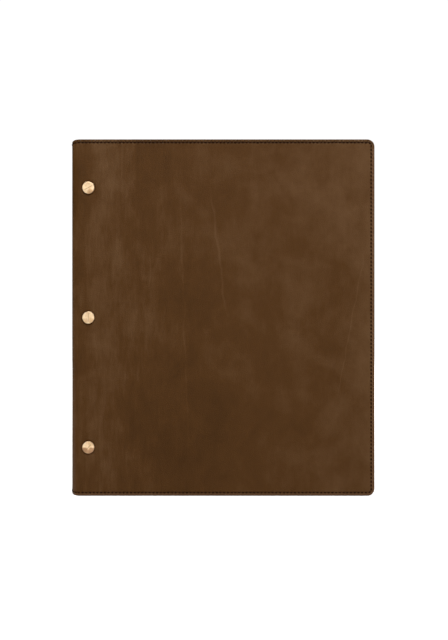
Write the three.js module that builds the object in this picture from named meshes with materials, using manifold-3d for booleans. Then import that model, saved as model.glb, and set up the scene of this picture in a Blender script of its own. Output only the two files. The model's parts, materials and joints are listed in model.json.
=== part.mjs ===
// A post-bound scrapbook album in a stitched leather cover, closed and standing on its tail edge.
//
// Millimetres. +X runs from the spine to the fore-edge, +Y from the front cover to the back cover and
// +Z from the tail to the head. The origin is under the middle of the album, on what it stands on.
//
// One skin of leather wraps the front cover, the spine and the back cover. It is folded over the
// boards at the head, tail and fore-edge, and it bends at two creases beside the binding margin. The
// posts clamp the margin round the stubs of the leaves, and each leaf bends at a score on the crease.

import * as THREE from "three";
import { mergeVertices } from "three/addons/utils/BufferGeometryUtils.js";
import Module from "manifold-3d";

const wasm = await Module();
wasm.setup();

// ---- Driving dimensions ----

const leafWidth = 215.9; // scored hinge to fore-edge: a letter-size sheet
const leafHeight = 279.4;
const leafThickness = 0.5;
const leafCount = 18;
const stubGap = 0.1; // air between neighbouring stubs
const foreEdgeOverhang = 9.05; // how far the covers stand out past the leaves
const headOverhang = 8.8; // the same at the head and at the tail

const albumThickness = 28; // front cover's face to back cover's face
const cornerRadius = 6; // the fore-edge corners of the covers
const spineBulge = 8.5; // how far the rounded spine stands out past the flat binding margins
const marginWidth = 20.1; // flat part of the binding margins, up to the crease

const skinThickness = 1.0; // leather
const turnInThickness = 0.7; // leather pared thin where it is folded over inside
const turnInWidth = 12;
const boardThickness = 1.6;
const liningThickness = 0.5;
const liningInset = 4; // turn-in left bare round the lining
const glueLine = 0.1; // between glued layers
const edgeGap = 0.3; // beside a filler card or a board
const creaseGap = 0.5; // between two pieces that meet at a crease
const creaseFlex = 3.5; // bare leather from the crease to the nearest board

const stitchInset = 2.5; // edge of the leather to the middle of the stitching
const threadWidth = 0.8;
const threadThickness = 0.25;
const threadSunk = 0.05; // how far the thread lies below the face of the leather
const threadClearance = 0.1;

const postCount = 3;
const postSpacing = 108; // standard three-hole spacing, 4 1/4 in
const postInset = 7.1; // start of the flat margin to the line of posts
const headRadius = 5;
const headProud = 0.8; // how far a head stands out of the leather
const headSeat = 0.5; // how far a head is pressed into the leather
const headChamfer = 0.2;
const barrelRadius = 2.75;
const boreRadius = 2.0;
const shankRadius = 1.7;
const shankLength = 10;
const boreSpareDepth = 3; // bore below the tip of the shank
const barrelShort = 0.5; // screw head's underside to the open end of the barrel
const holeClearance = 0.3; // round a barrel or a head
const slotLength = 7;
const slotWidth = 1.0;
const slotDepth = 0.45;
const slotAngles = { top: 28, middle: 90, bottom: 50 }; // degrees up from +X, as the screws came to rest

const ellipseSteps = 16;
const cornerSteps = 6;
const roundSteps = 20;
const cutOver = 1; // how far a cutting tool runs past what it cuts

// ---- Places worked out from them ----

const albumWidth = spineBulge + marginWidth + creaseGap / 2 + leafWidth + foreEdgeOverhang;
const albumHeight = leafHeight + 2 * headOverhang;
const half = albumThickness / 2;
const spineX = -albumWidth / 2; // outermost line of the spine
const foreEdgeX = albumWidth / 2;
const flatX = spineX + spineBulge; // where the spine's curve runs into the flat margins
const creaseX = flatX + marginWidth;
const postX = flatX + postInset;
const middleZ = albumHeight / 2;

const FRONT = -1; // the side of the album that a piece is on, as the sign of its y
const BACK = 1;

// Layers of a cover, as depths below its outer face.
const boardTop = skinThickness + glueLine;
const boardBottom = boardTop + boardThickness;
const pocketBottom = boardBottom + glueLine;
const turnInBottom = pocketBottom + turnInThickness;
const liningTop = turnInBottom + glueLine;
const coverThickness = liningTop + liningThickness;
const grooveDepth = threadSunk + threadThickness + threadClearance;

const postPlaces = Array.from({ length: postCount }, (_, i) => ({
  name: Object.keys(slotAngles)[i],
  z: middleZ + postSpacing * ((postCount - 1) / 2 - i),
}));

// ---- Materials ----

function material(color, roughness, metalness = 0) {
  return () => new THREE.MeshStandardMaterial({ color, roughness, metalness });
}

const leather = material(0x54381f, 0.55);
const leatherLining = material(0x6b4a2d, 0.8);
const threadStuff = material(0x1c120b, 0.7);
const greyBoard = material(0x8b8378, 0.95);
const paper = material(0xece4d2, 0.9);
const brass = material(0xd9b681, 0.3, 1);

// ---- Solids ----

// A closed geometry as a manifold-3d solid.
function solid(geometry) {
  const bare = geometry.clone();
  bare.deleteAttribute("normal");
  bare.deleteAttribute("uv");
  const merged = mergeVertices(bare, 1e-4);
  return new wasm.Manifold(
    new wasm.Mesh({
      numProp: 3,
      vertProperties: merged.attributes.position.array,
      triVerts: new Uint32Array(merged.index.array),
    }),
  );
}

function geometryOf(manifold) {
  const mesh = manifold.getMesh();
  const geometry = new THREE.BufferGeometry();
  geometry.setAttribute("position", new THREE.BufferAttribute(mesh.vertProperties, 3));
  geometry.setIndex(new THREE.BufferAttribute(mesh.triVerts, 1));
  return geometry.toNonIndexed();
}

// The first geometry with all the others cut out of it.
function cut(base, ...tools) {
  return geometryOf(tools.reduce((left, tool) => left.subtract(solid(tool)), solid(base)));
}

function join(one, other) {
  return geometryOf(solid(one).add(solid(other)));
}

// An outline in X and Z as a plate between two heights in Y.
function plate(outline, yLow, yHigh) {
  const geometry = new THREE.ExtrudeGeometry(outline, {
    depth: yHigh - yLow,
    bevelEnabled: false,
    curveSegments: cornerSteps,
  });
  return geometry.rotateX(Math.PI / 2).translate(0, yHigh, 0);
}

// A plate in a cover: its layer runs from depth top to depth bottom below the cover's outer face.
function layer(side, outline, top, bottom) {
  const ys = [side * (half - top), side * (half - bottom)];
  return plate(outline, Math.min(...ys), Math.max(...ys));
}

// An outline in X and Y as a wall between two heights in Z.
function wall(outline, zLow, zHigh) {
  const geometry = new THREE.ExtrudeGeometry(outline, {
    depth: zHigh - zLow,
    bevelEnabled: false,
    curveSegments: ellipseSteps,
  });
  return geometry.translate(0, 0, zLow);
}

function rod(radius, yLow, yHigh, x, z) {
  const geometry = new THREE.CylinderGeometry(radius, radius, yHigh - yLow, roundSteps);
  return geometry.translate(x, (yLow + yHigh) / 2, z);
}

function rectangle(xLow, xHigh, zLow, zHigh) {
  const shape = new THREE.Shape();
  shape.moveTo(xLow, zLow);
  shape.lineTo(xHigh, zLow);
  shape.lineTo(xHigh, zHigh);
  shape.lineTo(xLow, zHigh);
  shape.closePath();
  return shape;
}

// ---- Cover outlines ----

// A cover's outline, drawn in by inset at the head, fore-edge and tail, from xLow to the fore-edge.
function coverOutline(inset, xLow) {
  const xHigh = foreEdgeX - inset;
  const zLow = inset;
  const zHigh = albumHeight - inset;
  const r = Math.max(cornerRadius - inset, 0);
  const shape = new THREE.Shape();
  shape.moveTo(xLow, zLow);
  shape.lineTo(xHigh - r, zLow);
  if (r > 0) shape.absarc(xHigh - r, zLow + r, r, -Math.PI / 2, 0, false);
  shape.lineTo(xHigh, zHigh - r);
  if (r > 0) shape.absarc(xHigh - r, zHigh - r, r, 0, Math.PI / 2, false);
  shape.lineTo(xLow, zHigh);
  shape.closePath();
  return shape;
}

const coverEdgeX = creaseX + creaseGap / 2; // where the leather and lining of a cover begin
const coverBoardX = creaseX + creaseFlex;
const bindingEdgeX = creaseX - creaseGap / 2; // where those of the binding margins end
const bindingBoardX = creaseX - creaseFlex;

// A U-shaped band along the stitching of a cover, as wide as the thread or its groove.
function stitchBand(side, width, top, bottom, xLow) {
  const outer = layer(side, coverOutline(stitchInset - width / 2, xLow), top, bottom);
  const inner = coverOutline(stitchInset + width / 2, xLow - cutOver);
  return [outer, layer(side, inner, top - cutOver, bottom + cutOver)];
}

function coverLeather(side) {
  const block = layer(side, coverOutline(0, coverEdgeX), 0, turnInBottom);
  const openX = coverEdgeX - cutOver;
  const pocket = layer(side, coverOutline(skinThickness, openX), skinThickness, pocketBottom);
  const window = layer(
    side,
    coverOutline(turnInWidth, openX),
    pocketBottom - glueLine,
    turnInBottom + cutOver,
  );
  const grooveWidth = threadWidth + 2 * threadClearance;
  const groove = cut(...stitchBand(side, grooveWidth, -cutOver, grooveDepth, openX));
  return cut(block, pocket, window, groove);
}

function coverBoard(side) {
  return layer(side, coverOutline(skinThickness + glueLine, coverBoardX), boardTop, boardBottom);
}

function coverFiller(side) {
  return layer(side, coverOutline(turnInWidth + edgeGap, coverBoardX), pocketBottom, turnInBottom);
}

function coverLining(side) {
  return layer(side, coverOutline(liningInset, coverEdgeX), liningTop, coverThickness);
}

function coverThread(side) {
  return cut(
    ...stitchBand(side, threadWidth, threadSunk, threadSunk + threadThickness, coverEdgeX),
  );
}

// ---- Spine and binding margins ----

// The section, in X and Y, of a band that follows the margins and the spine between two depths below
// their outer face and ends at xEnd on both sides.
function wrapSection(top, bottom, xEnd) {
  const shape = new THREE.Shape();
  shape.moveTo(xEnd, -(half - top));
  shape.lineTo(flatX, -(half - top));
  shape.absellipse(flatX, 0, spineBulge - top, half - top, -Math.PI / 2, Math.PI / 2, true);
  shape.lineTo(xEnd, half - top);
  shape.lineTo(xEnd, half - bottom);
  shape.lineTo(flatX, half - bottom);
  shape.absellipse(flatX, 0, spineBulge - bottom, half - bottom, Math.PI / 2, -Math.PI / 2, false);
  shape.lineTo(xEnd, -(half - bottom));
  shape.closePath();
  return shape;
}

// The same for the curved part alone, a small angle short of the margins at each end.
function curveSection(top, bottom) {
  const short = edgeGap / spineBulge;
  const shape = new THREE.Shape();
  const from = -Math.PI / 2 - short;
  const to = Math.PI / 2 + short;
  shape.absellipse(flatX, 0, spineBulge - top, half - top, from, to, true);
  shape.absellipse(flatX, 0, spineBulge - bottom, half - bottom, to, from, false);
  shape.closePath();
  return shape;
}

function postHoles(radius, yLow, yHigh) {
  return postPlaces.map(({ z }) => rod(radius, yLow, yHigh, postX, z));
}

function barrelHoles() {
  return postHoles(barrelRadius + holeClearance, -half - cutOver, half + cutOver);
}

function headSeats(side) {
  const floor = side * (half - headSeat - glueLine);
  const above = side * (half + cutOver);
  return postHoles(headRadius + holeClearance, Math.min(floor, above), Math.max(floor, above));
}

// The heights of the stitching at the tail and at the head, as a band of some width.
function stitchHeights(width) {
  return [stitchInset, albumHeight - stitchInset].map((z) => [z - width / 2, z + width / 2]);
}

function spineLeather() {
  const block = wall(wrapSection(0, turnInBottom, bindingEdgeX), 0, albumHeight);
  const openX = bindingEdgeX + cutOver;
  const pocket = wall(
    wrapSection(skinThickness, pocketBottom, openX),
    skinThickness,
    albumHeight - skinThickness,
  );
  const window = wall(
    wrapSection(pocketBottom - glueLine, turnInBottom + cutOver, openX),
    turnInWidth,
    albumHeight - turnInWidth,
  );
  const grooves = stitchHeights(threadWidth + 2 * threadClearance).map(([zLow, zHigh]) =>
    wall(wrapSection(-cutOver, grooveDepth, openX), zLow, zHigh),
  );
  const seats = [...headSeats(FRONT), ...headSeats(BACK)];
  return cut(block, pocket, window, ...grooves, ...barrelHoles(), ...seats);
}

function spineLining() {
  const band = wrapSection(liningTop, coverThickness, bindingEdgeX);
  return cut(wall(band, liningInset, albumHeight - liningInset), ...barrelHoles());
}

// A board with a raised field that fills the window inside the turn-in.
function spineInlay() {
  const inset = skinThickness + glueLine;
  const card = wall(curveSection(boardTop, boardBottom), inset, albumHeight - inset);
  const fieldLow = turnInWidth + edgeGap;
  const field = wall(
    curveSection(boardBottom - glueLine, turnInBottom),
    fieldLow,
    albumHeight - fieldLow,
  );
  return join(card, field);
}

function bindingBoard(side) {
  const xLow = flatX + edgeGap;
  const inset = skinThickness + glueLine;
  const card = rectangle(xLow, bindingBoardX, inset, albumHeight - inset);
  const fieldLow = turnInWidth + edgeGap;
  const field = rectangle(xLow, bindingBoardX, fieldLow, albumHeight - fieldLow);
  const board = join(
    layer(side, card, boardTop, boardBottom),
    layer(side, field, boardBottom - glueLine, turnInBottom),
  );
  return cut(board, ...barrelHoles());
}

function spineThread([zLow, zHigh]) {
  return wall(wrapSection(threadSunk, threadSunk + threadThickness, bindingEdgeX), zLow, zHigh);
}

// ---- Leaves ----

const stackHalf = half - coverThickness;
const leafPitch = (2 * stackHalf) / leafCount;
const leafLow = middleZ - leafHeight / 2;
const leafHigh = middleZ + leafHeight / 2;

function leafY(index) {
  return -stackHalf + leafPitch * (index + 0.5);
}

// The binding edge of a leaf, folded back on itself so that it is as thick as the leaves are apart.
function stub(index) {
  const outline = rectangle(flatX + edgeGap, bindingEdgeX, leafLow, leafHigh);
  postPlaces.forEach(({ z }) => {
    const hole = new THREE.Path();
    hole.absarc(postX, z, barrelRadius + holeClearance, 0, 2 * Math.PI, true);
    outline.holes.push(hole);
  });
  const thick = leafPitch - stubGap;
  return plate(outline, leafY(index) - thick / 2, leafY(index) + thick / 2);
}

function leaf(index) {
  const outline = rectangle(coverEdgeX, coverEdgeX + leafWidth, leafLow, leafHigh);
  return plate(outline, leafY(index) - leafThickness / 2, leafY(index) + leafThickness / 2);
}

// ---- Posts and screws ----

// A turned piece on the Y axis, from a list of [radius, y] corners with y rising.
function turned(corners) {
  return new THREE.LatheGeometry(
    corners.map(([r, y]) => new THREE.Vector2(r, y)),
    roundSteps,
  );
}

function screw(slotAngle) {
  const face = -half - headProud;
  const underside = -half + headSeat;
  const tip = underside + shankLength;
  const body = turned([
    [0, face],
    [headRadius - headChamfer, face],
    [headRadius, face + headChamfer],
    [headRadius, underside],
    [shankRadius, underside],
    [shankRadius, tip],
    [0, tip],
  ]);
  const slot = new THREE.BoxGeometry(slotLength, 2 * slotDepth, slotWidth)
    .rotateY(-THREE.MathUtils.degToRad(slotAngle))
    .translate(0, face, 0);
  return cut(body, slot);
}

function post() {
  const open = -half + headSeat + barrelShort;
  const boreEnd = -half + headSeat + shankLength + boreSpareDepth;
  const underside = half - headSeat;
  const face = half + headProud;
  return turned([
    [0, boreEnd],
    [boreRadius, boreEnd],
    [boreRadius, open],
    [barrelRadius, open],
    [barrelRadius, underside],
    [headRadius, underside],
    [headRadius, face - headChamfer],
    [headRadius - headChamfer, face],
    [0, face],
  ]);
}

// ---- The album ----

const album = new THREE.Group();

function place(name, geometry, stuff, x = 0, z = 0) {
  const mesh = new THREE.Mesh(geometry, stuff());
  mesh.name = name;
  mesh.position.set(x, 0, z);
  album.add(mesh);
}

for (const [name, side] of [
  ["front_cover", FRONT],
  ["back_cover", BACK],
]) {
  place(`${name}_leather`, coverLeather(side), leather);
  place(`${name}_board`, coverBoard(side), greyBoard);
  place(`${name}_filler`, coverFiller(side), greyBoard);
  place(`${name}_lining`, coverLining(side), leatherLining);
  place(`${name}_thread`, coverThread(side), threadStuff);
}

place("spine_leather", spineLeather(), leather);
place("spine_inlay", spineInlay(), greyBoard);
place("spine_lining", spineLining(), leatherLining);
place("front_binding_board", bindingBoard(FRONT), greyBoard);
place("back_binding_board", bindingBoard(BACK), greyBoard);

const [tailStitches, headStitches] = stitchHeights(threadWidth);
place("spine_thread_tail", spineThread(tailStitches), threadStuff);
place("spine_thread_head", spineThread(headStitches), threadStuff);

for (let i = 0; i < leafCount; i += 1) {
  const number = String(i + 1).padStart(2, "0");
  place(`stub_${number}`, stub(i), paper);
  place(`leaf_${number}`, leaf(i), paper);
}

for (const { name, z } of postPlaces) {
  place(`post_${name}`, post(), brass, postX, z);
  place(`screw_${name}`, screw(slotAngles[name]), brass, postX, z);
}

export default album;
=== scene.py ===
import json
import math

import bmesh
import bpy
import numpy as np
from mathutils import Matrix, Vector, noise

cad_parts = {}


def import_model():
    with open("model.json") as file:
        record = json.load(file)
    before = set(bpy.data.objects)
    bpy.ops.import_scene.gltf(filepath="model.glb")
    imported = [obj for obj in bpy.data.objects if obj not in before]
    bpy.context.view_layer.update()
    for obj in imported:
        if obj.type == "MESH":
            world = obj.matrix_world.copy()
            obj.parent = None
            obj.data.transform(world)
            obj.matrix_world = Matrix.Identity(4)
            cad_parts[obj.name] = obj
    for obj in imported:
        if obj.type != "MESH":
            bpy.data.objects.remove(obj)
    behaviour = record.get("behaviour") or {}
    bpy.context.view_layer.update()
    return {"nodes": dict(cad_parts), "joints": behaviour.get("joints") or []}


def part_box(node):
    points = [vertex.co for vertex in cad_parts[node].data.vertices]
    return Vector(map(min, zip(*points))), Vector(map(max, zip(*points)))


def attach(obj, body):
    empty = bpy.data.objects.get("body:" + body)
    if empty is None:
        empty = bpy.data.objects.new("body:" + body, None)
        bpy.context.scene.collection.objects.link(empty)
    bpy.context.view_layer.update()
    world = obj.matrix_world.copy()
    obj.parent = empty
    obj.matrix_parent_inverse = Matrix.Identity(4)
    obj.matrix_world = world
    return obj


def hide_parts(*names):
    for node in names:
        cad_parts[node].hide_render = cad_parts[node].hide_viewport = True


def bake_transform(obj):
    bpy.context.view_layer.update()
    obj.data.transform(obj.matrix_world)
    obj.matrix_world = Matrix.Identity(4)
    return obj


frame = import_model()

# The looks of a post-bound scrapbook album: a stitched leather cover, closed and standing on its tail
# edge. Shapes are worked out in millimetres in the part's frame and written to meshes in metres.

MM = 0.001


# ---- Sizes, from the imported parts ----

def box(node):
    low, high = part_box(node)
    return np.array(low) / MM, np.array(high) / MM


joints = {j["name"]: j for j in frame["joints"]}
cover_low, cover_high = box("front_cover_leather")
spine_low, _ = box("spine_leather")
board_low, _ = box("front_cover_board")
lining_low, lining_high = box("front_cover_lining")
binding_low, _ = box("front_binding_board")
_, stub_high = box("stub_01")

HALF = -cover_low[1]  # outer face of a cover, from the middle of the album
HEIGHT = cover_high[2]
SPINE_X = spine_low[0]
BOARD_GAP = 0.3  # start of the flat margin to the binding boards
FLAT_X = binding_low[0] - BOARD_GAP  # where the spine's curve runs into the flat margin
BULGE = FLAT_X - SPINE_X
CREASE_X = joints["front_cover_hinge"]["pos_m"][0] / MM
FLEX = board_low[0] - CREASE_X  # bare leather from the crease to a board
REACH = cover_high[0] - FLAT_X  # start of the flat margin to the fore-edge
CREASE = CREASE_X - FLAT_X
TURN_IN_BOTTOM = HALF + cover_high[1]
LINING_TOP = HALF + lining_low[1]
LINING_BOTTOM = HALF + lining_high[1]
LINING_INSET = lining_low[2]
POSTS = ["top", "middle", "bottom"]
screw_boxes = {name: box(f"screw_{name}") for name in POSTS}
post_boxes = {name: box(f"post_{name}") for name in POSTS}
POST_X = joints["screw_top_turn"]["pos_m"][0] / MM
POST_Z = {name: (screw_boxes[name][0][2] + screw_boxes[name][1][2]) / 2 for name in POSTS}
POST_PITCH = POST_Z["top"] - POST_Z["middle"]
POST = POST_X - FLAT_X
HEAD_FACE = screw_boxes["top"][0][1]
HEAD_RADIUS = (screw_boxes["top"][1][0] - screw_boxes["top"][0][0]) / 2

CORNER_RADIUS = 6.0
TURN_IN = 12.0  # width of the leather folded over inside
BARREL_HOLE = 3.05  # radius of the holes for the posts
SLOT_DEPTH = 0.3

STITCH_INSET = 2.95
STITCH_CORNER = 2.2  # radius
STITCH_PITCH = 3.1
STITCH_LENGTH = 2.1
STITCH_RADIUS = 0.56
STITCH_DEPTH = 0.16  # of the middle of a stitch
STITCH_DIP = 0.42  # how much deeper its ends go
STITCH_TAPER = 0.35  # share of the radius lost at its ends
STITCH_FLATNESS = 0.75  # its thickness, as a share of its width

FRONT, BACK = -1, 1


def shrinking(inset):
    """Corner radius on the outer face, shrinking to a plain corner where the field begins."""
    return float(np.interp(inset, [0, STITCH_INSET, TURN_IN], [CORNER_RADIUS, STITCH_CORNER, 0]))


def offset(inset):
    """Corner radius a constant distance inside the outline."""
    return max(CORNER_RADIUS - inset, 0)


# ---- The wrap: leather coordinates to the part's frame ----
#
# A point of a cover is (along, z, depth): along is measured on the outer face from the start of the
# flat margin, negative round the spine, and depth is below the outer face. The spine's section is half
# an ellipse; _arc is the distance along a quarter of it at each angle in _turn.

_turn = np.linspace(0, math.pi / 2, 721)
_steps = np.hypot(np.diff(BULGE * np.sin(_turn)), np.diff(HALF * np.cos(_turn)))
_arc = np.concatenate([[0], np.cumsum(_steps)])
SPINE_ARC = _arc[-1]  # half the width of the spine's curved leather


def wrap(points, side):
    along, z, depth = np.asarray(points, float).T
    turn = np.interp(-along, _arc, _turn)
    x = FLAT_X + np.maximum(along, 0) - (BULGE - depth) * np.sin(turn)
    y = side * (HALF - depth) * np.cos(turn)
    return np.stack([x, y, z], 1)


def smooth(low, high, x):
    t = np.clip((x - low) / (high - low), 0, 1)
    return t * t * (3 - 2 * t)


def ripple(x, z, scale, seed):
    """Smooth noise from -1 to 1 for each point, with waves about scale millimetres long."""
    return np.array([
        noise.noise(Vector((a / scale, b / scale, seed))) for a, b in zip(x, z)
    ])


# ---- Meshes ----

def make_object(name, vertices, faces, material, sharp=50, attributes=None):
    mesh = bpy.data.meshes.new(name)
    mesh.from_pydata((np.asarray(vertices) * MM).tolist(), [], [list(f) for f in faces])
    for key, values in (attributes or {}).items():
        values = np.asarray(values, np.float32)
        if values.ndim == 2:
            mesh.attributes.new(key, "FLOAT_VECTOR", "POINT")
            mesh.attributes[key].data.foreach_set("vector", values.ravel())
        else:
            mesh.attributes.new(key, "FLOAT", "POINT")
            mesh.attributes[key].data.foreach_set("value", values)
    obj = bpy.data.objects.new(name, mesh)
    bpy.context.scene.collection.objects.link(obj)
    clean(obj)
    mesh.shade_smooth()
    mesh.set_sharp_from_angle(angle=math.radians(sharp))
    mesh.materials.append(material)
    return obj


def clean(obj):
    """Welds points that coincide and turns the faces outwards."""
    bm = bmesh.new()
    bm.from_mesh(obj.data)
    bmesh.ops.remove_doubles(bm, verts=bm.verts, dist=1e-6)
    bmesh.ops.recalc_face_normals(bm, faces=bm.faces)
    bm.to_mesh(obj.data)
    bm.free()


class Shell:
    """Points in leather coordinates, with the faces that join them."""

    def __init__(self):
        self.points = []
        self.insets = []
        self.seams = []  # distance along the stitching, beside the edges
        self.faces = []

    def add(self, points, inset, seams=None):
        start = len(self.points)
        self.points.extend(points)
        self.insets.extend([inset] * len(points))
        self.seams.extend([0.0] * len(points) if seams is None else seams)
        return np.arange(start, len(self.points))

    def strip(self, one, other):
        for i in range(len(one) - 1):
            self.faces.append((one[i], one[i + 1], other[i + 1], other[i]))

    def loop(self, one, other):
        self.strip(list(one) + [one[0]], list(other) + [other[0]])


def ring_path(inset, radius, columns, rows, steps):
    """The U-shaped line at some inset from the tail, fore-edge and head, from the spine and back to it."""
    end = REACH - inset - radius
    low, high = inset + radius, HEIGHT - inset - radius
    path = [(p, inset) for p in columns[:-1]] + [(end, inset)]
    for i in range(1, steps):
        a = math.pi / 2 * i / steps
        path.append((end + radius * math.sin(a), low - radius * math.cos(a)))
    path += [(REACH - inset, z) for z in [low, *rows[1:-1], high]]
    for i in range(1, steps):
        a = math.pi / 2 * i / steps
        path.append((end + radius * math.cos(a), high + radius * math.sin(a)))
    return path + [(end, HEIGHT - inset)] + [(p, HEIGHT - inset) for p in columns[-2::-1]]


def cover_shell(profile, columns, rows, steps, holes, relief, dish):
    """A closed shell that wraps one side of the album.

    profile lists (inset, depth, corner radius) from the outer face round the edges to the inner face.
    holes lists (along, z, half width of the patch, radii of its rings, smallest first)."""
    shell = Shell()

    def surface(points, inset, depth, outer):
        points = np.array(points, float)
        lift = relief(points[:, 0], points[:, 1]) * smooth(0.3, 2.5, inset) if outer else 0
        depths = depth + lift
        return np.column_stack([points, depths * np.ones(len(points))])

    line = np.array(ring_path(STITCH_INSET, shrinking(STITCH_INSET), columns, rows, steps))
    seams = np.concatenate([[0], np.cumsum(np.hypot(*np.diff(line, axis=0).T))]).tolist()
    rings = []
    turned = False
    for inset, depth, radius in profile:
        outer = not turned
        turned = turned or inset == 0
        points = surface(ring_path(inset, radius, columns, rows, steps), inset, depth, outer)
        rings.append(shell.add(points.tolist(), inset, seams))
    for one, other in zip(rings, rings[1:]):
        shell.strip(one, other)

    def in_patch(i, j):
        p, z = (columns[i] + columns[i + 1]) / 2, (rows[j] + rows[j + 1]) / 2
        return any(abs(p - a) < h and abs(z - b) < h for a, b, h, _ in holes)

    inner_holes = []
    for outer, (edge, depth, _) in ((True, profile[0]), (False, profile[-1])):
        points = [(p, z) for p in columns for z in rows]
        field = surface(points, edge, depth, outer)
        ids = shell.add(field.tolist(), edge).reshape(len(columns), len(rows))
        for i in range(len(columns) - 1):
            for j in range(len(rows) - 1):
                if not in_patch(i, j):
                    shell.faces.append((ids[i, j], ids[i + 1, j], ids[i + 1, j + 1], ids[i, j + 1]))
        for number, (a, b, h, radii) in enumerate(holes):
            i0, i1 = [int(np.argmin(abs(np.array(columns) - v))) for v in (a - h, a + h)]
            j0, j1 = [int(np.argmin(abs(np.array(rows) - v))) for v in (b - h, b + h)]
            square = [ids[i, j0] for i in range(i0, i1)] + [ids[i1, j] for j in range(j0, j1)]
            square += [ids[i, j1] for i in range(i1, i0, -1)] + [ids[i0, j] for j in range(j1, j0, -1)]
            flat = np.array([shell.points[k][:2] for k in square]) - (a, b)
            direction = flat / np.linalg.norm(flat, axis=1)[:, None]
            last = square
            for r in reversed(radii):
                circle = surface(direction * r + (a, b), edge, depth, outer)
                if outer:
                    circle[:, 2] += dish(r)
                ring = shell.add(circle.tolist(), edge)
                shell.loop(last, ring)
                last = ring
            if outer:
                inner_holes.append(last)
            else:
                shell.loop(last, inner_holes[number])
        if outer:
            first_column = ids[0]
        else:
            last_column = ids[0]
    # The end at the middle of the spine, one flat face round the section.
    section = list(first_column) + [r[-1] for r in rings[1:]] + list(last_column[::-1])
    section += [r[0] for r in rings[-2:0:-1]]
    shell.faces.append(tuple(section))
    return shell


def stitch_line():
    """The line of the stitching, in (along, z), and the distance along it."""
    ends = [-SPINE_ARC, REACH - TURN_IN], [TURN_IN, HEIGHT - TURN_IN]
    path = np.array(ring_path(STITCH_INSET, shrinking(STITCH_INSET), *ends, 24))
    return path, np.concatenate([[0], np.cumsum(np.hypot(*np.diff(path, axis=0).T))])


def seam_pitch():
    length = stitch_line()[1][-1]
    return length / round(length / STITCH_PITCH)


def spread(*stops):
    """Values through the stops (value, number of steps to the next)."""
    values = []
    for (low, count), (high, _) in zip(stops, stops[1:]):
        values += list(np.linspace(low, high, count, endpoint=False))
    return values + [stops[-1][0]]


def hide_coordinates(points, side):
    """(u, z, depth) with u running on without a break from the front cover round to the back."""
    points = np.array(points, float)
    if side == BACK:
        points[:, 0] = -2 * SPINE_ARC - points[:, 0]
    return points


def cover_object(name, shell, side, material):
    return make_object(
        name,
        wrap(shell.points, side),
        shell.faces,
        material,
        attributes={
            "hide": hide_coordinates(shell.points, side),
            "inset": shell.insets,
            "seam": shell.seams,
        },
    )


def bend_at_crease(obj):
    """Bakes the piece's transform into its mesh."""
    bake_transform(obj)


# ---- Materials ----

class Nodes:
    """A material and short ways to add nodes to it."""

    def __init__(self, name):
        self.material = bpy.data.materials.new(name)
        self.material.use_nodes = True
        self.tree = self.material.node_tree
        self.shader = self.tree.nodes["Principled BSDF"]

    def put(self, value, socket):
        if isinstance(value, bpy.types.NodeSocket):
            self.tree.links.new(value, socket)
        else:
            socket.default_value = value

    def node(self, kind, inputs=None, **settings):
        made = self.tree.nodes.new(kind)
        for key, value in settings.items():
            setattr(made, key, value)
        for key, value in (inputs or {}).items():
            self.put(value, made.inputs[key])
        return made

    def math(self, operation, a, b=0.0, clamp=False):
        made = self.node("ShaderNodeMath", {0: a, 1: b}, operation=operation, use_clamp=clamp)
        return made.outputs[0]

    def product(self, first, *others):
        for other in others:
            first = self.math("MULTIPLY", first, other)
        return first

    def total(self, first, *others):
        for other in others:
            first = self.math("ADD", first, other)
        return first

    def varied(self, noise, weight):
        """A noise between 0 and 1, turned to run evenly either side of nothing."""
        return self.product(self.math("SUBTRACT", noise, 0.5), weight)

    def fade(self, value, low, high, to_low=0.0, to_high=1.0):
        """Runs smoothly from to_low at low to to_high at high; low may be the larger."""
        made = self.node(
            "ShaderNodeMapRange",
            {"Value": value, "From Min": low, "From Max": high, "To Min": to_low, "To Max": to_high},
            interpolation_type="SMOOTHSTEP",
        )
        return made.outputs["Result"]

    def scaled(self, vector, scale, offset=(0, 0, 0)):
        made = self.node("ShaderNodeMapping", {"Vector": vector, "Location": offset, "Scale": scale})
        return made.outputs[0]

    def noise(self, vector, scale, detail=3.0, rough=0.5, distortion=0.0):
        inputs = {"Vector": vector, "Scale": scale, "Detail": detail}
        inputs |= {"Roughness": rough, "Distortion": distortion}
        return self.node("ShaderNodeTexNoise", inputs).outputs["Fac"]

    def ramp(self, value, stops):
        made = self.node("ShaderNodeValToRGB", {0: value})
        elements = made.color_ramp.elements
        while len(elements) < len(stops):
            elements.new(0.5)
        for element, (at, colour) in zip(elements, stops):
            element.position = at
            element.color = (*colour, 1)
        return made.outputs["Color"]

    def mix(self, factor, a, b, blend_type="MIX"):
        made = self.node("ShaderNodeMix", data_type="RGBA", blend_type=blend_type)
        self.put(factor, made.inputs["Factor"])
        self.put(a, made.inputs["A"])
        self.put(b, made.inputs["B"])
        return made.outputs["Result"]

    def attribute(self, name, output):
        return self.node("ShaderNodeAttribute", attribute_name=name).outputs[output]

    def bump(self, height, distance, strength=1.0, below=None):
        inputs = {"Height": height, "Distance": distance, "Strength": strength}
        if below is not None:
            inputs["Normal"] = below
        return self.node("ShaderNodeBump", inputs).outputs[0]

    def set(self, **values):
        for key, value in values.items():
            self.put(value, self.shader.inputs[key.replace("_", " ")])


def linear(r, g, b):
    """An sRGB colour in 0-255 as linear light."""
    def one(c):
        c /= 255
        return c / 12.92 if c <= 0.04045 else ((c + 0.055) / 1.055) ** 2.4
    return one(r), one(g), one(b)


LEATHER_GAIN = 0.765  # brings the leather's colours to their strength under the studio light
PAINTED_SHADE_CENTRE = (88, 52, 0)  # middle of a painted shade low on the front, in hide coordinates
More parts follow.
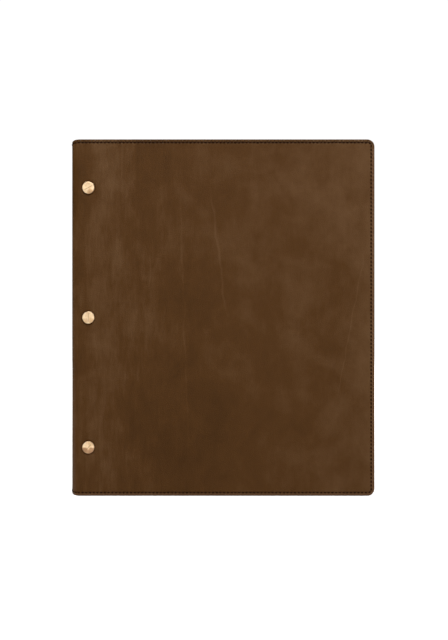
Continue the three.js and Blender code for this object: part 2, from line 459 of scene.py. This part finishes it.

# Faint pale marks of the hide on the front cover: upper and lower end as (u, z), width and strength.
MARKS = [
    ((108.6, 255.4), (122.0, 151.1), 1.6, 0.175),
    ((83.6, 249.6), (90.3, 34.3), 1.3, 0.1225),
    ((58.6, 199.5), (58.9, 167.8), 1.2, 0.1575),
    ((236.3, 201.2), (214.6, 82.7), 0.8, 0.14),
]


def leather_colour(r, g, b):
    return tuple(c * LEATHER_GAIN for c in linear(r, g, b))


def hide_mark(n, hide, u, z, upper, lower, width, strength):
    """The tone that one of the MARKS adds, along a line that wanders a little."""
    slope = (lower[0] - upper[0]) / (lower[1] - upper[1])
    wander = n.noise(n.scaled(hide, (0.0, 0.05, 0.0), (upper[0], 0, 0)), 1.0, 2)
    straight = n.total(n.product(n.math("SUBTRACT", z, upper[1]), slope), upper[0])
    away = n.math("ABSOLUTE", n.math("SUBTRACT", u, n.total(straight, n.varied(wander, 5))))
    ends = n.product(n.fade(z, lower[1] - 6, lower[1] + 14), n.fade(z, upper[1] + 6, upper[1] - 14))
    return n.product(n.fade(away, width, 0), ends, strength)


def hide_marks_and_painted_light(n, hide, u, z):
    """The tones that the hide's pale marks add, with painted light and shade: paler beside the spine, towards
    the head and at the fore-edge, darker low on the front.
    """
    # Painted light: paler beside the spine, towards the head and at the fore-edge.
    painted_light_beside_spine = n.product(n.fade(u, 2, 14), n.fade(u, 56, 20), 0.16)
    painted_light_towards_head = n.product(n.fade(u, 70, 250, 0, 0.17), n.fade(z, 20, 260, 0.35, 1))
    painted_light_at_fore_edge = n.fade(u, 222, 246, 0, 0.15)
    # Painted shade: a darker cloud low on the front.
    away = n.node("ShaderNodeVectorMath", {0: hide, 1: PAINTED_SHADE_CENTRE}, operation="DISTANCE")
    painted_shade_cloud = n.fade(away.outputs["Value"], 95, 15, 0, -0.16)
    marks = [hide_mark(n, hide, u, z, *mark) for mark in MARKS]
    return [painted_light_beside_spine, painted_light_towards_head, painted_light_at_fore_edge, painted_shade_cloud, *marks]


def seam_shade(n, inset, z):
    """How much painted shade lies along the stitching, and how far the leather is drawn in outside it.

    The channel gets painted shade, darkest under the stitches and paler between them, less so at the head.
    Outside it the leather is drawn in between the stitches, and painted shadows of these puckers show as dark
    ticks, stronger at the head. The edge at the head gets painted shade as well."""
    head = n.fade(z, HEIGHT - 6, HEIGHT - 4)
    wave = n.math("COSINE", n.product(n.attribute("seam", "Fac"), 2 * math.pi / seam_pitch()))
    channel = n.product(n.fade(inset, 2.1, 2.7), n.fade(inset, 3.8, 3.2))
    between = n.product(n.fade(wave, -0.3, 0.7), channel)
    paler = n.product(between, n.math("SUBTRACT", 0.85, n.product(head, 0.6)))
    outside = n.fade(inset, 2.9, 2.2)
    drawn_in = n.product(wave, n.fade(inset, 0.2, 1.2), outside)
    ticks = n.product(n.fade(drawn_in, 0, 1), n.total(n.product(head, 0.2), 0.12))
    shade = n.total(n.product(n.math("SUBTRACT", channel, paler), 0.8), ticks)
    head_edge_shade = n.product(head, n.fade(inset, 0.3, 1.4), outside, 0.16)
    return n.math("ADD", shade, head_edge_shade, clamp=True), drawn_in


def leather_material():
    """Oiled leather, coloured in hide coordinates so that it runs on from cover to cover."""
    n = Nodes("oiled_leather")
    hide = n.attribute("hide", "Vector")
    u, z, _ = n.node("ShaderNodeSeparateXYZ", {0: hide}).outputs
    inset = n.attribute("inset", "Fac")

    mottle = n.noise(n.scaled(hide, (0.026, 0.022, 0.03)), 1.0, 6, 0.58, 0.5)
    cloud = n.noise(n.scaled(hide, (0.10, 0.075, 0.1), (3, 8, 2)), 1.0, 4, 0.55, 0.3)
    streaks = n.noise(n.scaled(hide, (0.13, 0.022, 0.1), (7, 3, 1)), 1.0, 4, 0.55, 0.5)
    fine = n.noise(n.scaled(hide, (0.55, 0.08, 0.4), (2, 9, 5)), 1.0, 3, 0.6, 0.3)
    grain = n.noise(hide, 1.3, 5, 0.65)
    streaky = n.fade(u, 120, 30, 0.25, 1.0)  # the streaks weaken away from the spine
    tone = n.total(
        n.varied(mottle, 0.82),
        n.varied(cloud, 0.34),
        n.varied(grain, 0.2),
        n.product(n.varied(streaks, 0.62), streaky),
        n.product(n.varied(fine, 0.34), streaky),
        *hide_marks_and_painted_light(n, hide, u, z),
    )
    colour = n.ramp(n.math("ADD", tone, 0.5, clamp=True), [
        (0.0, leather_colour(63, 37, 6)),
        (0.5, leather_colour(81, 51, 19)),
        (1.0, leather_colour(103, 74, 46)),
    ])
    # Paler and pinker along the folded edges, except at the head: partly rubbed wear, partly painted light on
    # the rolled edges that face away from the lamps.
    rub_and_edge_light = n.product(n.fade(inset, 2.7, 1.9), n.fade(z, HEIGHT - 4, HEIGHT - 9, 0.0, 0.5))
    colour = n.mix(rub_and_edge_light, colour, (*leather_colour(112, 80, 56), 1))
    # Painted shade along the stitching, mixed in as a near-black brown.
    shade, drawn_in = seam_shade(n, inset, z)
    colour = n.mix(shade, colour, (0.010, 0.005, 0.002, 1))

    pores = n.node("ShaderNodeTexVoronoi", {"Vector": hide, "Scale": 0.9}, feature="DISTANCE_TO_EDGE")
    normal = n.bump(streaks, 0.00010, 0.4)
    normal = n.bump(n.fade(pores.outputs["Distance"], 0.0, 0.2), 0.00007, 0.9, normal)
    normal = n.bump(grain, 0.0002, 0.9, normal)
    normal = n.bump(n.product(drawn_in, -1), 0.00012, 0.9, normal)
    rough = n.total(n.product(mottle, 0.16), 0.46)
    n.set(Base_Color=colour, Roughness=rough, Normal=normal, IOR=1.45)
    n.shader.inputs["Specular IOR Level"].default_value = 0.10
    return n.material


def lining_material():
    n = Nodes("suede_lining")
    hide = n.attribute("hide", "Vector")
    nap = n.noise(n.scaled(hide, (0.05, 0.03, 0.05), (4, 4, 4)), 1.0, 5, 0.6, 0.6)
    fibre = n.noise(n.scaled(hide, (1.8, 1.1, 1.0)), 1.0, 4, 0.7)
    tone = n.total(n.product(nap, 0.7), n.product(fibre, 0.3))
    colour = n.ramp(tone, [
        (0.3, linear(88, 60, 37)),
        (0.5, linear(104, 74, 48)),
        (0.72, linear(124, 92, 64)),
    ])
    n.set(Base_Color=colour, Roughness=0.92, Normal=n.bump(fibre, 0.00008, 0.9))
    n.shader.inputs["Specular IOR Level"].default_value = 0.15
    n.shader.inputs["Sheen Weight"].default_value = 0.25
    n.shader.inputs["Sheen Roughness"].default_value = 0.5
    return n.material


def thread_material():
    n = Nodes("waxed_thread")
    place = n.node("ShaderNodeTexCoord").outputs["Object"]
    wax = n.noise(place, 900, 3, 0.6)
    colour = n.ramp(wax, [(0.3, linear(22, 8, 1)), (0.75, linear(42, 18, 3))])
    n.set(Base_Color=colour, Roughness=0.75, Normal=n.bump(wax, 0.00004, 0.6))
    n.shader.inputs["Specular IOR Level"].default_value = 0.04
    return n.material


def card_material(name, dark, pale, scale, bump):
    n = Nodes(name)
    place = n.node("ShaderNodeTexCoord").outputs["Object"]
    cloud = n.noise(place, scale * 0.12, 3, 0.5)
    fibre = n.noise(n.scaled(place, (1, 1, 3.2)), scale, 4, 0.65, 0.3)
    tone = n.total(n.product(cloud, 0.45), n.product(fibre, 0.55))
    colour = n.ramp(tone, [(0.3, dark), (0.7, pale)])
    n.set(Base_Color=colour, Roughness=0.9, Normal=n.bump(fibre, bump, 0.7))
    n.shader.inputs["Specular IOR Level"].default_value = 0.2
    return n.material


def painted_reflection_fan(n, angle, key):
    """A darker fan of painted reflection; its attribute holds its angle, the cosine of its half width and its
    strength.
    """
    at, low, strength = n.node("ShaderNodeSeparateXYZ", {0: n.attribute(key, "Vector")}).outputs
    facing = n.math("COSINE", n.math("SUBTRACT", angle, at))
    return n.product(n.fade(facing, low, n.total(low, 0.35)), strength)


def brass_material():
    """Turned brass: fine rings, darker fans of painted reflection across the face, and painted shade in the
    slot.

    Its attribute place is measured from where the piece's axis meets the album's middle."""
    n = Nodes("turned_brass")
    place = n.attribute("place", "Vector")
    x, y, z = n.node("ShaderNodeSeparateXYZ", {0: place}).outputs
    radius = n.math("SQRT", n.total(n.product(x, x), n.product(z, z)))
    angle = n.math("ARCTAN2", z, x)
    fans = n.total(painted_reflection_fan(n, angle, "painted_fan_a"), painted_reflection_fan(n, angle, "painted_fan_b"))
    fans = n.product(fans, n.fade(radius, 0.2, 2.4))
    around = n.node("ShaderNodeCombineXYZ", {0: n.product(radius, 7.0), 1: n.product(angle, 0.3)})
    rings = n.noise(around.outputs[0], 1.0, 4, 0.7)
    tarnish = n.noise(place, 0.35, 3, 0.55)
    # Painted reflection: the fans darken the turned face.
    tone = n.math("SUBTRACT", n.total(n.product(tarnish, 0.8), 0.2), fans)
    colour = n.ramp(n.total(tone, n.varied(rings, 0.25)), [
        (0.0, linear(176, 134, 100)),
        (0.35, linear(224, 186, 140)),
        (0.6, linear(246, 214, 172)),
        (0.8, linear(252, 226, 190)),
    ])
    below_face = n.fade(y, HEAD_FACE + 0.03, HEAD_FACE + SLOT_DEPTH)
    within_head = n.fade(y, HEAD_FACE + 0.7, HEAD_FACE + 0.6)
    slot_shade = n.product(below_face, within_head, n.fade(radius, 3.9, 3.6))
    # Painted shade in the slot: a darker brass mixed in below the face.
    colour = n.mix(n.product(slot_shade, 0.45), colour, (*linear(150, 108, 66), 1))
    rough = n.fade(tarnish, 0.2, 0.8, 0.36, 0.28)
    n.set(Base_Color=colour, Metallic=1.0, Roughness=rough, Normal=n.bump(rings, 0.00001, 0.4))
    n.shader.inputs["Anisotropic"].default_value = 0.6
    tangent = n.node("ShaderNodeTangent", direction_type="RADIAL", axis="Y")
    n.put(tangent.outputs[0], n.shader.inputs["Tangent"])
    return n.material


leather = leather_material()
suede = lining_material()
thread = thread_material()
brass = brass_material()
leaf_card = card_material("leaf_card", linear(202, 195, 179), linear(215, 208, 193), 900, 0.00005)
grey_board = card_material("grey_board", linear(118, 110, 98), linear(150, 142, 129), 1400, 0.0001)


# ---- The leather and the linings ----

PATCH = POST  # half width of the square round each post; the margin starts at its edge
HEAD_DISH = 0.58  # depth of the hollow round a head


def dish(r):
    """How far the leather is pressed in round a head."""
    return HEAD_DISH * (1 - smooth(HEAD_RADIUS + 0.15, PATCH - 0.1, r))


def skin_relief(along, z):
    """Gentle hollows of the hide over its board, never proud of the flat."""
    broad = ripple(along, z, 46, 3.7) * 0.6 + ripple(along, z, 17, 8.2) * 0.4
    return 0.05 * (1 + broad)


def columns_for(steps_curve, steps_post, steps_flex, field_step):
    """Distances along a cover for its grid, from the middle of the spine to the turn-in."""
    flex_low, flex_high = CREASE - FLEX, CREASE + FLEX
    field = REACH - TURN_IN
    count = int((field - flex_high - 2) / field_step)
    return spread(
        (-SPINE_ARC, steps_curve),
        (0, steps_post),
        (2 * POST, 3),
        (flex_low, steps_flex),
        (flex_high, 2),
        (flex_high + 2, count),
        (field, 0),
    )


def rows_for(steps_post, field_step):
    """Heights on a cover for its grid, from the turn-in at the tail to the one at the head."""
    steps_end = 5
    steps_between = int((POST_PITCH - 2 * PATCH) / field_step)
    stops = [(TURN_IN, steps_end)]
    for name in reversed(POSTS):
        stops.append((POST_Z[name] - PATCH, steps_post))
        stops.append((POST_Z[name] + PATCH, steps_end if name == "top" else steps_between))
    stops.append((HEIGHT - TURN_IN, 0))
    return spread(*stops)


OUTER_EDGE = [  # (inset, depth) from the field, over the stitch channel and round the fold
    (TURN_IN, 0.04), (8.5, 0.04), (6.4, 0.035), (5.3, 0.015), (4.6, 0.0), (4.1, 0.01), (3.65, 0.07),
    (3.3, 0.17), (STITCH_INSET, 0.25), (2.6, 0.18), (2.2, 0.08), (1.7, 0.04), (1.2, 0.07),
    (0.75, 0.2), (0.4, 0.44), (0.13, 0.82), (0, 1.25),
]
INNER_EDGE = [  # (inset, depth) from the fold, round the turn-in and back under the outer skin
    (0, 1.75), (0, 2.3), (0.12, 2.75), (0.4, 3.15), (0.8, 3.4), (1.3, 3.5), (5, 3.5), (10.6, 3.5),
    (11.7, 3.3), (TURN_IN, 2.95), (11.8, 2.8), (1.3, 2.8), (1.0, 2.6), (1.0, 1.25), (1.3, 1.0),
    (TURN_IN, 1.0),
]

skin_profile = [(a, d, shrinking(a)) for a, d in OUTER_EDGE] + [(a, d, offset(a)) for a, d in INNER_EDGE]
skin_columns = columns_for(15, 10, 10, 4.2)
skin_rows = rows_for(10, 4.3)
skin_holes = [
    (POST, POST_Z[name], PATCH, [BARREL_HOLE, 4.4, 5.15, 5.5, 5.85, 6.2, 6.55, 6.95])
    for name in POSTS
]
skin_shell = cover_shell(skin_profile, skin_columns, skin_rows, 8, skin_holes, skin_relief, dish)

lining_profile = [
    (TURN_IN, LINING_TOP, 0),
    (LINING_INSET + 0.1, LINING_TOP, 2),
    (LINING_INSET, LINING_TOP + 0.1, 2),
    (LINING_INSET, LINING_BOTTOM - 0.15, 2),
    (LINING_INSET + 0.2, LINING_BOTTOM, 2),
    (TURN_IN, LINING_BOTTOM, 0),
]
lining_holes = [(POST, POST_Z[name], PATCH, [BARREL_HOLE, 5]) for name in POSTS]
lining_shell = cover_shell(
    lining_profile,
    columns_for(10, 6, 10, 20),
    rows_for(6, 20),
    4,
    lining_holes,
    lambda along, z: np.zeros(len(along)),
    lambda r: 0,
)

for word, side in (("front", FRONT), ("back", BACK)):
    skin = cover_object(f"{word}_skin", skin_shell, side, leather)
    bend_at_crease(skin)
    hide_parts(f"{word}_cover_leather", "spine_leather")
    lining = cover_object(f"{word}_lining", lining_shell, side, suede)
    bend_at_crease(lining)
    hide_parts(f"{word}_cover_lining", "spine_lining")


# ---- Stitching ----

def stitches(side):
    """The stitches on the outer face and, on the same line, on the turn-in behind it."""
    path, lengths = stitch_line()
    pitch = seam_pitch()
    count = round(lengths[-1] / pitch)
    rings, sides = 9, 8
    inner_face = TURN_IN_BOTTOM + 0.06  # lifts the inside stitches a little out of the leather
    random = np.random.default_rng(11 + side)
    points, faces = [], []
    for i, inside in [(i, inside) for inside in (False, True) for i in range(count)]:
        middle = (i + 0.5) * pitch + random.normal(0, 0.05)
        length = STITCH_LENGTH * random.normal(1, 0.04)
        slant = random.normal(0, 0.04)
        start = len(points)
        for j in range(rings):
            t = -1 + 2 * j / (rings - 1)
            s = middle + t * length / 2
            here = np.array([np.interp(s, lengths, path[:, k]) for k in (0, 1)])
            ahead = np.array([np.interp(s + 0.05, lengths, path[:, k]) for k in (0, 1)])
            along = (ahead - here) / max(np.linalg.norm(ahead - here), 1e-9)
            across = np.array([-along[1], along[0]])
            depth = STITCH_DEPTH + STITCH_DIP * t ** 4
            thick = STITCH_RADIUS * (1 - STITCH_TAPER * t ** 4)
            for k in range(sides):
                a = 2 * math.pi * k / sides
                twist = 1 + 0.13 * math.cos(2 * a - 7.5 * t)  # two strands, laid in a spiral
                at = here + across * (thick * twist * math.cos(a) + slant * t)
                below = depth + STITCH_FLATNESS * thick * twist * math.sin(a)
                points.append((at[0], at[1], inner_face - below if inside else below))
        for j in range(rings - 1):
            for k in range(sides):
                a, b = start + j * sides + k, start + j * sides + (k + 1) % sides
                faces.append((a, b, b + sides, a + sides))
        faces.append(tuple(start + k for k in range(sides)))
        faces.append(tuple(start + (rings - 1) * sides + k for k in range(sides)))
    return points, faces


for word, side in (("front", FRONT), ("back", BACK)):
    points, faces = stitches(side)
    sewn = make_object(f"{word}_stitching", wrap(points, side), faces, thread, sharp=80)
    bend_at_crease(sewn)
    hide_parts(f"{word}_cover_thread", "spine_thread_tail", "spine_thread_head")


# ---- Leaves ----

LEAF_COUNT = 18
LEAF_SWAY = 0.16  # how far a leaf's fore-edge wanders
STUB_END = stub_high[0]


def leaf_section(number):
    """A leaf's middle in y, the length that bends over the gutter, and its grid.

    The grid is a list of x, half the thickness at each x, and a list of z. A leaf starts as thick as its
    folded stub, thins to one layer, and is thinnest along its scored line."""
    low, high = box(f"leaf_{number:02d}")
    stub_front, stub_back = box(f"stub_{number:02d}")
    y = (low[1] + high[1]) / 2
    thick = high[1] - low[1]
    stub_thick = stub_back[1] - stub_front[1]
    bend = 6 + 1.6 * (HALF + y)  # the further back a leaf lies, the wider it bends
    joint = [0, 0.35, 0.9, 1.5, 1.75, 2.0]
    thickness = [stub_thick, stub_thick * 0.96, thick, thick, thick * 0.6, thick]
    xs = [STUB_END + x for x in joint]
    xs += list(np.linspace(STUB_END + 2.6, CREASE_X + bend, 18))
    xs += list(np.linspace(CREASE_X + bend, high[0], 13))[1:]
    halves = [np.interp(x - STUB_END, joint, thickness) / 2 for x in xs]
    return y, bend, xs, halves, np.linspace(low[2], high[2], 9)


def leaf(number):
    y, bend, xs, halves, zs = leaf_section(number)
    points, faces = [], []
    for face in (-1, 1):
        for x, h in zip(xs, halves):
            sway = smooth(CREASE_X + 20, xs[-1], x) * LEAF_SWAY
            for z in zs:
                wave = noise.noise(Vector((x / 70, z / 90, number * 3.1)))
                points.append((x, y + face * h + sway * wave, z))
    n, m = len(xs), len(zs)

    def at(face, i, j):
        return (face * n + i) * m + j

    for face in (0, 1):
        for i in range(n - 1):
            for j in range(m - 1):
                corners = [(i, j), (i + 1, j), (i + 1, j + 1), (i, j + 1)]
                faces.append(tuple(at(face, *corner) for corner in corners))
    border = [(i, 0) for i in range(n)] + [(n - 1, j) for j in range(1, m)]
    border += [(i, m - 1) for i in range(n - 2, -1, -1)] + [(0, j) for j in range(m - 2, 0, -1)]
    for one, other in zip(border, border[1:] + border[:1]):
        faces.append((at(0, *one), at(0, *other), at(1, *other), at(1, *one)))
    page = make_object(f"leaf_{number:02d}_page", points, faces, leaf_card, sharp=60)
    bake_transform(page)
    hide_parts(f"leaf_{number:02d}")


for number in range(1, LEAF_COUNT + 1):
    leaf(number)


# ---- Posts and screws ----

SLOT_ANGLES = {"top": 28, "middle": 90, "bottom": 50}  # degrees up from +X
SLOT_LENGTH = 7.0
SLOT_WIDTH = 0.7
HEAD_SEAT = 0.5  # the leather's outer face down to the underside of a head
FACE_RINGS = (1.5, 3.2)  # radii of the face's inner rings
EDGE = 0.1  # bevel of a head's lower corner
SCREW_PITCH = 0.7
SHANK_RADIUS = 1.7
SHANK_NECK = 1.45  # radius where the shank meets the head
SHANK_TIP = 1.2
GROOVE = 0.28  # depth of the screw's thread
BORE_RADIUS = 2.0
BORE_END = 13.5  # the front's outer face down to the closed end of a post's bore
BARREL_RADIUS = 2.75
TURNED_SIDES = 48
TURNED_SHARP = 35  # degrees


def lathe(profile, segments, radius_at=None):
    """Points and faces of a turned piece on the Y axis. Its (radius, y) corners start and end on the axis."""
    points, faces = [], []
    for r, y in profile:
        for k in range(segments):
            a = 2 * math.pi * k / segments
            here = radius_at(r, y, a) if radius_at else r
            points.append((here * math.cos(a), y, here * math.sin(a)))
    for i in range(len(profile) - 1):
        for k in range(segments):
            a, b = i * segments + k, i * segments + (k + 1) % segments
            faces.append((a, b, b + segments, a + segments))
    return points, faces


def turned_piece(name, profile, x, z, fans, radius_at=None):
    points, faces = lathe(profile, TURNED_SIDES, radius_at)
    attributes = {"place": points, **{key: [fan] * len(points) for key, fan in fans.items()}}
    return make_object(name, np.array(points) + (x, 0, z), faces, brass, TURNED_SHARP, attributes)


def rim(face, inward, radius):
    """The rounded corner of a head between its face and its side; inward is the sign of y into it."""
    soft = 0.28
    steps = 5
    return [
        (radius - soft + soft * math.sin(a), face + inward * soft * (1 - math.cos(a)))
        for a in (math.pi / 2 * i / steps for i in range(steps + 1))
    ]


# The darker fans of painted reflection on each head, with the values that the brass material reads.
PAINTED_FANS = {
    "top": {"painted_fan_a": (-1.15, 0.62, 0.4), "painted_fan_b": (2.4, 0.8, 0.1)},
    "middle": {"painted_fan_a": (-0.75, 0.7, 0.3), "painted_fan_b": (-2.2, 0.7, 0.2)},
    "bottom": {"painted_fan_a": (-1.6, -0.15, 0.56), "painted_fan_b": (1.0, 0.72, 0.18)},
}
PLAIN_PAINTED_FANS = {"painted_fan_a": (-0.8, 0.6, 0.25), "painted_fan_b": (2.2, 0.7, 0.15)}


def screw_radius(r, y, a):
    """Adds a thread to the shank."""
    if abs(r - SHANK_RADIUS) > 0.01:
        return r
    phase = (y / SCREW_PITCH + a / (2 * math.pi)) % 1
    return r - GROOVE * abs(2 * phase - 1)


def slot_cutter(angle, face):
    """A prism with round ends for cutting a slot at an angle in degrees."""
    steps = 6
    radius = SLOT_WIDTH / 2
    centre = (SLOT_LENGTH - SLOT_WIDTH) / 2
    outline = []
    for end in (1, -1):
        for i in range(steps + 1):
            a = -math.pi / 2 + math.pi * i / steps
            outline.append((end * (centre + radius * math.cos(a)), end * radius * math.sin(a)))
    c, s = math.cos(math.radians(angle)), math.sin(math.radians(angle))
    outline = [(x * c - z * s, x * s + z * c) for x, z in outline]
    n = len(outline)
    points = [(x, y, z) for y in (face - 1, face + SLOT_DEPTH) for x, z in outline]
    faces = [tuple(range(n)), tuple(range(2 * n - 1, n - 1, -1))]
    faces += [(k, (k + 1) % n, n + (k + 1) % n, n + k) for k in range(n)]
    return points, faces


def cut_slot(obj, name, face, x, z):
    """Cuts a head's slot, and writes the attributes of its brass anew on the cut mesh."""
    points, faces = slot_cutter(SLOT_ANGLES[name], face)
    cutter = make_object("cutter", np.array(points) + (x, 0, z), faces, brass)
    boolean = obj.modifiers.new("slot", "BOOLEAN")
    boolean.operation = "DIFFERENCE"
    boolean.solver = "EXACT"
    boolean.object = cutter
    bpy.context.view_layer.update()
    mesh = bpy.data.meshes.new_from_object(obj.evaluated_get(bpy.context.evaluated_depsgraph_get()))
    obj.modifiers.clear()
    old, obj.data = obj.data, mesh
    mesh.name = obj.name
    bpy.data.meshes.remove(old)
    bpy.data.objects.remove(cutter)
    place = np.array([v.co for v in mesh.vertices]) / MM - (x, 0, z)
    for key, value in {"place": place, **PAINTED_FANS[name]}.items():
        values = np.broadcast_to(np.asarray(value, np.float32), (len(mesh.vertices), 3))
        data = mesh.attributes.get(key) or mesh.attributes.new(key, "FLOAT_VECTOR", "POINT")
        data.data.foreach_set("vector", values.astype(np.float32).ravel())
    mesh.shade_smooth()
    mesh.set_sharp_from_angle(angle=math.radians(TURNED_SHARP))


def make_screw(name):
    """A slotted screw with a threaded shank."""
    z = POST_Z[name]
    low, high = screw_boxes[name]
    face, tip = low[1], high[1]
    underside = -HALF + HEAD_SEAT
    shank = [(SHANK_RADIUS, y) for y in np.arange(underside + 0.3, tip - 0.3, SCREW_PITCH / 4)]
    profile = [(r, face) for r in (0.0, *FACE_RINGS)]
    profile += rim(face, 1, HEAD_RADIUS)
    profile += [(HEAD_RADIUS, underside - EDGE), (HEAD_RADIUS - EDGE, underside)]
    profile += [(SHANK_NECK, underside)] + shank + [(SHANK_TIP, tip), (0.0, tip)]
    screw = turned_piece(f"screw_{name}_turned", profile, POST_X, z, PAINTED_FANS[name], screw_radius)
    cut_slot(screw, name, face, POST_X, z)
    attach(screw, f"screw_{name}")
    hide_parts(f"screw_{name}")


def make_post(name):
    """A post with a closed head at the back and a bore for its screw."""
    low, high = post_boxes[name]
    back, mouth = high[1], low[1]
    underside = HALF - HEAD_SEAT
    bore_end = -HALF + BORE_END
    inner_bevel, outer_bevel = 0.2, 0.15
    profile = [(0.0, bore_end), (BORE_RADIUS, bore_end), (BORE_RADIUS, mouth + inner_bevel)]
    profile += [(BORE_RADIUS + inner_bevel, mouth), (BARREL_RADIUS - outer_bevel, mouth)]
    profile += [(BARREL_RADIUS, mouth + outer_bevel), (BARREL_RADIUS, underside)]
    profile += [(HEAD_RADIUS - EDGE, underside), (HEAD_RADIUS, underside + EDGE)]
    profile += rim(back, -1, HEAD_RADIUS)[::-1] + [(r, back) for r in (*FACE_RINGS[::-1], 0.0)]
    post = turned_piece(f"post_{name}_turned", profile, POST_X, POST_Z[name], PLAIN_PAINTED_FANS)
    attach(post, "binding")
    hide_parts(f"post_{name}")


for name in POSTS:
    make_screw(name)
    make_post(name)


# ---- Materials of the CAD parts that stay ----

for name, node in frame["nodes"].items():
    if node.hide_render:
        continue
    stuff = leaf_card if name.startswith("stub") else grey_board
    for s in node.material_slots:
        s.material = stuff


# ---- Floor, light and camera ----

def floor():
    """A pale floor that glows for the camera's own rays only, so that it runs into the backdrop."""
    just_below = -0.00005
    bpy.ops.mesh.primitive_plane_add(size=12, location=(0, 0, just_below))
    plane = bpy.context.object
    plane.name = "floor"
    n = Nodes("floor")
    place = n.node("ShaderNodeTexCoord").outputs["Object"]
    tone = n.noise(place, 3, 2)
    paper = n.ramp(tone, [(0.3, (0.68, 0.68, 0.68)), (0.7, (0.71, 0.71, 0.71))])
    n.set(Base_Color=paper, Roughness=0.9)
    n.shader.inputs["Specular IOR Level"].default_value = 0.0
    n.shader.inputs["Emission Color"].default_value = (1, 1, 1, 1)
    away = n.node("ShaderNodeVectorMath", {0: place}, operation="LENGTH").outputs["Value"]
    seen = n.node("ShaderNodeLightPath").outputs["Is Camera Ray"]
    glow = n.product(seen, n.fade(away, 0.25, 0.9, 0.75, 1.1))
    n.put(glow, n.shader.inputs["Emission Strength"])
    plane.data.materials.append(n.material)


def area(name, at, target, size, power, glossy=True):
    """A soft lamp turned to its target; glossy=False keeps its reflection off the album."""
    data = bpy.data.lights.new(name, "AREA")
    data.shape = "RECTANGLE"
    data.size, data.size_y = size
    data.energy = power
    lamp = bpy.data.objects.new(name, data)
    lamp.location = at
    lamp.visible_glossy = glossy
    lamp.rotation_mode = "QUATERNION"
    lamp.rotation_quaternion = (Vector(target) - Vector(at)).to_track_quat("-Z", "Y")
    bpy.context.scene.collection.objects.link(lamp)


def world():
    """A white backdrop for the camera's own rays, and a dim room for all others."""
    made = bpy.data.worlds.new("studio")
    made.use_nodes = True
    tree = made.node_tree
    tree.nodes.clear()
    output = tree.nodes.new("ShaderNodeOutputWorld")
    seen = tree.nodes.new("ShaderNodeBackground")
    seen.inputs["Color"].default_value = (1, 1, 1, 1)
    seen.inputs["Strength"].default_value = 1.05
    room = tree.nodes.new("ShaderNodeBackground")
    room.inputs["Color"].default_value = (1, 1, 1, 1)
    room.inputs["Strength"].default_value = 0.06
    rays = tree.nodes.new("ShaderNodeLightPath")
    mix = tree.nodes.new("ShaderNodeMixShader")
    tree.links.new(rays.outputs["Is Camera Ray"], mix.inputs["Fac"])
    tree.links.new(room.outputs[0], mix.inputs[1])
    tree.links.new(seen.outputs[0], mix.inputs[2])
    tree.links.new(mix.outputs[0], output.inputs["Surface"])
    bpy.context.scene.world = made


floor()
world()
middle = (0, 0, 0.15)
area("key", (0.1, -2.2, 1.1), middle, (3.0, 2.6), 25)
area("top", (0.05, -0.6, 1.3), middle, (1.4, 0.6), 20)
area("fill_left", (-1.7, -0.25, 0.4), middle, (1.2, 1.4), 14, glossy=False)
area("fill_right", (1.7, -0.25, 0.4), middle, (1.2, 1.4), 11, glossy=False)
area("behind", (-0.3, 1.8, 1.3), middle, (2.4, 1.6), 28, glossy=False)

camera_data = bpy.data.cameras.new("camera")
camera_data.lens = 50
camera_data.sensor_width = 36
camera_data.clip_start, camera_data.clip_end = 0.01, 50
camera = bpy.data.objects.new("camera", camera_data)
camera.location = (0.0015, -0.7533, 0.1465)
camera.rotation_euler = (math.pi / 2, 0, 0)
bpy.context.scene.collection.objects.link(camera)
bpy.context.scene.camera = camera
bpy.context.scene.view_settings.view_transform = "Standard"
